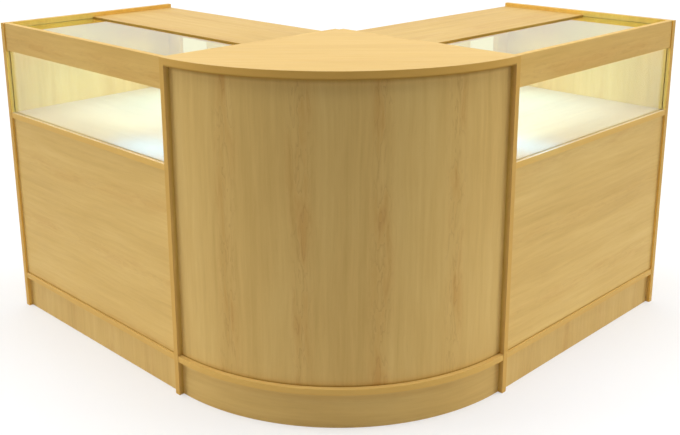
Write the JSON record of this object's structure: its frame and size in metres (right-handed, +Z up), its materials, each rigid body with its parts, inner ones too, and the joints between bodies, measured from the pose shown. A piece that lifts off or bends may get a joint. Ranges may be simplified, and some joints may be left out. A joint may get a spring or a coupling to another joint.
{
  "type": "shop counter",
  "caption": "L-shaped shop counter: half-glazed lit display legs with sliding rear doors and open storage, joined by a quarter-round corner unit.",
  "frame": {"origin": "on the floor, at the middle of the set's square outline", "axes": "+Z up; the right leg runs along +X with its glazed front towards -Y; the left leg runs along +Y with its glazed front towards -X; the quarter-round unit faces -X and -Y"},
  "size_m": [1.41, 1.41, 0.9],
  "materials": {
    "maple_board": "pale maple laminate, satin, warm edge bands",
    "maple_top": "pale maple laminate, satin, lighter worn top",
    "maple_bent": "pale maple laminate on a bent board, upright grain",
    "maple_deck": "pale maple laminate under the lamp",
    "clear_glass": "clear 5 mm glass with polished edges",
    "door_board": "thin maple-faced sliding door",
    "track_plastic": "extruded beige track",
    "pull_plastic": "moulded finger cup",
    "lamp_aluminium": "anodised extrusion",
    "lamp_diffuser": "opal diffuser, lit",
    "lamp_plastic": "white moulded cap and switch block",
    "rocker_plastic": "black rocker",
    "led_board": "white circuit board",
    "cam_zinc": "zinc cam fittings",
    "fixing_steel": "nickel-plated pegs and screws"
  },
  "bodies": {
    "counter": {"left_outer_end_panel": "maple_board", "right_outer_end_panel": "maple_board", "left_inner_end_panel": "maple_board", "right_inner_end_panel": "maple_board", "left_fascia_rail": "maple_board", "right_fascia_rail": "maple_board", "left_display_deck": "maple_deck", "right_display_deck": "maple_deck", "left_front_panel": "maple_board", "right_front_panel": "maple_board", "left_base_shelf": "maple_board", "right_base_shelf": "maple_board", "left_plinth": "maple_board", "right_plinth": "maple_board", "left_rear_plinth": "maple_board", "right_rear_plinth": "maple_board", "left_rear_top": "maple_top", "right_rear_top": "maple_top", "left_storage_shelf": "maple_board", "right_storage_shelf": "maple_board", "left_front_glass": "clear_glass", "right_front_glass": "clear_glass", "left_top_glass": "clear_glass", "right_top_glass": "clear_glass", "left_lower_door_track": "track_plastic", "right_lower_door_track": "track_plastic", "left_upper_door_track": "track_plastic", "right_upper_door_track": "track_plastic", "left_lamp_housing": "lamp_aluminium", "right_lamp_housing": "lamp_aluminium", "left_lamp_diffuser": "lamp_diffuser", "right_lamp_diffuser": "lamp_diffuser", "left_lamp_switch_block": "lamp_plastic", "right_lamp_switch_block": "lamp_plastic", "rear_stiles": "maple_board", "lamp_led_boards": "led_board", "lamp_front_caps": "lamp_plastic", "shelf_pegs": "fixing_steel", "cam_fittings": "cam_zinc", "unit_connectors": "fixing_steel", "corner_top": "maple_top", "corner_curved_front": "maple_bent", "corner_curved_plinth": "maple_bent", "corner_base_shelf": "maple_board", "corner_right_side": "maple_board", "corner_left_side": "maple_board", "corner_mid_former": "maple_board", "corner_plinth_rails": "maple_board", "corner_cleats": "maple_board"},
    "left_outer_door": {"left_outer_door": "door_board", "left_outer_door_pull": "pull_plastic"},
    "left_inner_door": {"left_inner_door": "door_board", "left_inner_door_pull": "pull_plastic"},
    "left_lamp_rocker": {"left_lamp_rocker": "rocker_plastic"},
    "right_outer_door": {"right_outer_door": "door_board", "right_outer_door_pull": "pull_plastic"},
    "right_inner_door": {"right_inner_door": "door_board", "right_inner_door_pull": "pull_plastic"},
    "right_lamp_rocker": {"right_lamp_rocker": "rocker_plastic"}
  },
  "joints": [
    {"name": "left_outer_door_slide", "type": "slide", "parent": "counter", "child": "left_outer_door", "axis": [0, 1, 0], "range_m": [-0.158, 0.214]},
    {"name": "left_inner_door_slide", "type": "slide", "parent": "counter", "child": "left_inner_door", "axis": [0, 1, 0], "range_m": [0, 0.372]},
    {"name": "left_lamp_switch", "type": "hinge", "parent": "counter", "child": "left_lamp_rocker", "pos_m": [-0.39, -0.0674, 0.852], "axis": [0, 0, 1], "range_deg": [-18, 0]},
    {"name": "right_outer_door_slide", "type": "slide", "parent": "counter", "child": "right_outer_door", "axis": [1, 0, 0], "range_m": [-0.158, 0.214]},
    {"name": "right_inner_door_slide", "type": "slide", "parent": "counter", "child": "right_inner_door", "axis": [1, 0, 0], "range_m": [0, 0.372]},
    {"name": "right_lamp_switch", "type": "hinge", "parent": "counter", "child": "right_lamp_rocker", "pos_m": [-0.0674, -0.39, 0.852], "axis": [0, 0, 1], "range_deg": [0, 18]}
  ]
}
